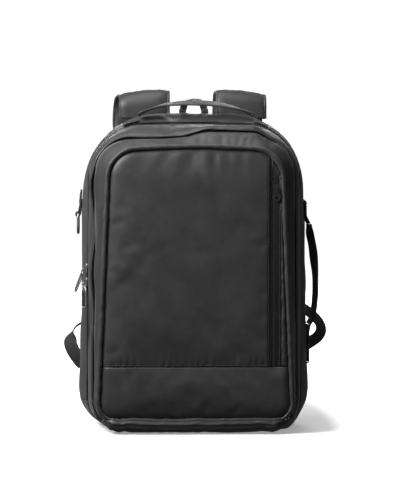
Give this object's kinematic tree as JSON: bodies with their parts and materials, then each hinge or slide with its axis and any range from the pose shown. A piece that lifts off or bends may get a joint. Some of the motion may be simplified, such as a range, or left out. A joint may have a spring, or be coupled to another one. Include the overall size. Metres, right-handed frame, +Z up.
{
  "type": "travel backpack",
  "caption": "Clamshell travel backpack with a zipped main compartment, front pocket, laptop sleeve, grab handles and padded shoulder straps.",
  "frame": {"origin": "on the floor below the middle of the bag's body, on the flat underside of the base", "axes": "+Z up along the height, -Y towards the front panel, +X to the right when looking at the front"},
  "size_m": [0.3751, 0.2542, 0.4855],
  "materials": {
    "shell_fabric": "smooth charcoal woven nylon with a faint satin sheen",
    "lining": "plain dark lining cloth",
    "mesh": "black air mesh over foam",
    "webbing": "black ribbed webbing",
    "piping": "corded seam piping",
    "zip_coil": "black zip coil on woven tape",
    "zip_metal": "gunmetal plated zinc, slightly worn",
    "buckle": "black moulded acetal, fine texture",
    "board": "semi-rigid polyethylene sheet"
  },
  "bodies": {
    "bag": {"base_panel": "shell_fabric", "rear_gusset_left": "shell_fabric", "rear_gusset_right": "shell_fabric", "rear_gusset_top": "shell_fabric", "laptop_zip": "zip_coil", "main_zip_rear_half": "zip_coil", "laptop_divider": "lining", "back_panel": "shell_fabric", "frame_sheet": "board", "base_stiffener": "board", "back_pad_left": "mesh", "back_pad_right": "mesh", "lumbar_pad": "mesh", "strap_yoke": "shell_fabric", "top_handle_tabs": "webbing", "side_handle_tabs": "webbing", "hang_loop_tab": "webbing", "d_ring_keeper": "webbing", "strap_anchor_left": "webbing", "strap_anchor_right": "webbing"},
    "front_section": {"front_gusset_left": "shell_fabric", "front_gusset_right": "shell_fabric", "front_gusset_top": "shell_fabric", "main_zip_front_half": "zip_coil", "front_panel": "shell_fabric", "front_panel_lower": "shell_fabric", "front_side_strip": "shell_fabric", "front_piping": "piping", "pocket_zip": "zip_coil", "pocket_lining": "lining"},
    "upper_slider": {"main_slider_upper": "zip_metal"},
    "upper_pull": {"main_pull_upper": "zip_metal"},
    "lower_slider": {"main_slider_lower": "zip_metal"},
    "lower_pull": {"main_pull_lower": "zip_metal"},
    "laptop_zip_slider": {"laptop_slider": "zip_metal"},
    "laptop_zip_pull": {"laptop_pull": "zip_metal"},
    "pocket_zip_slider": {"pocket_slider": "zip_metal"},
    "pocket_zip_pull": {"pocket_pull": "zip_metal"},
    "carry_handle": {"top_handle": "webbing"},
    "side_grab_handle": {"side_handle": "webbing"},
    "hanging_loop": {"hang_loop": "webbing"},
    "ring": {"d_ring": "zip_metal"},
    "strap_left": {"shoulder_pad_left": "shell_fabric", "shoulder_liner_left": "mesh", "strap_webbing_left": "webbing", "ladder_lock_left": "buckle", "lower_webbing_left": "webbing"},
    "strap_right": {"shoulder_pad_right": "shell_fabric", "shoulder_liner_right": "mesh", "strap_webbing_right": "webbing", "ladder_lock_right": "buckle", "lower_webbing_right": "webbing"}
  },
  "joints": [
    {"name": "front_section_opening", "type": "hinge", "parent": "bag", "child": "front_section", "pos_m": [0, -0.088, 0.019], "axis": [1, 0, 0], "range_deg": [0, 90]},
    {"name": "upper_slider_travel", "type": "slide", "parent": "bag", "child": "upper_slider", "axis": [0, 0, 1], "range_m": [0, 0.12]},
    {"name": "upper_pull_swing", "type": "hinge", "parent": "upper_slider", "child": "upper_pull", "pos_m": [-0.1568, -0.01, 0.23], "axis": [0, 1, 0], "range_deg": [0, 140]},
    {"name": "lower_slider_travel", "type": "slide", "parent": "bag", "child": "lower_slider", "axis": [0, 0, 1], "range_m": [-0.13, 0]},
    {"name": "lower_pull_swing", "type": "hinge", "parent": "lower_slider", "child": "lower_pull", "pos_m": [-0.1568, -0.01, 0.21], "axis": [0, 1, 0], "range_deg": [0, 40]},
    {"name": "laptop_slider_travel", "type": "slide", "parent": "bag", "child": "laptop_zip_slider", "axis": [0, 0, 1], "range_m": [-0.05, 0.19]},
    {"name": "laptop_pull_swing", "type": "hinge", "parent": "laptop_zip_slider", "child": "laptop_zip_pull", "pos_m": [0.16573, 0.06234, 0.122], "axis": [0.1219, -0.9925, 0], "range_deg": [0, 150]},
    {"name": "pocket_slider_travel", "type": "slide", "parent": "front_section", "child": "pocket_zip_slider", "axis": [0, 0, 1], "range_m": [-0.235, 0.01]},
    {"name": "pocket_pull_swing", "type": "hinge", "parent": "pocket_zip_slider", "child": "pocket_zip_pull", "pos_m": [0.1144, -0.0934, 0.346], "axis": [-1, 0, 0], "range_deg": [0, 150]},
    {"name": "carry_handle_fold", "type": "hinge", "parent": "bag", "child": "carry_handle", "pos_m": [0, 0.005, 0.4496], "axis": [1, 0, 0], "range_deg": [-12, 35]},
    {"name": "side_handle_fold", "type": "hinge", "parent": "bag", "child": "side_grab_handle", "pos_m": [0.1675, 0.03, 0], "axis": [0, 0, 1], "range_deg": [-22, 10]},
    {"name": "hang_loop_fold", "type": "hinge", "parent": "bag", "child": "hanging_loop", "pos_m": [0, 0.06, 0.4576], "axis": [1, 0, 0], "range_deg": [-25, 25]},
    {"name": "ring_swing", "type": "hinge", "parent": "bag", "child": "ring", "pos_m": [-0.1674, 0.044, 0.306], "axis": [0, 1, 0], "range_deg": [0, 75]},
    {"name": "strap_left_swing", "type": "hinge", "parent": "bag", "child": "strap_left", "pos_m": [0, 0.096, 0.4427], "axis": [1, 0, 0], "range_deg": [0, 40]},
    {"name": "strap_right_swing", "type": "hinge", "parent": "bag", "child": "strap_right", "pos_m": [0, 0.096, 0.4427], "axis": [1, 0, 0], "range_deg": [0, 40]}
  ]
}
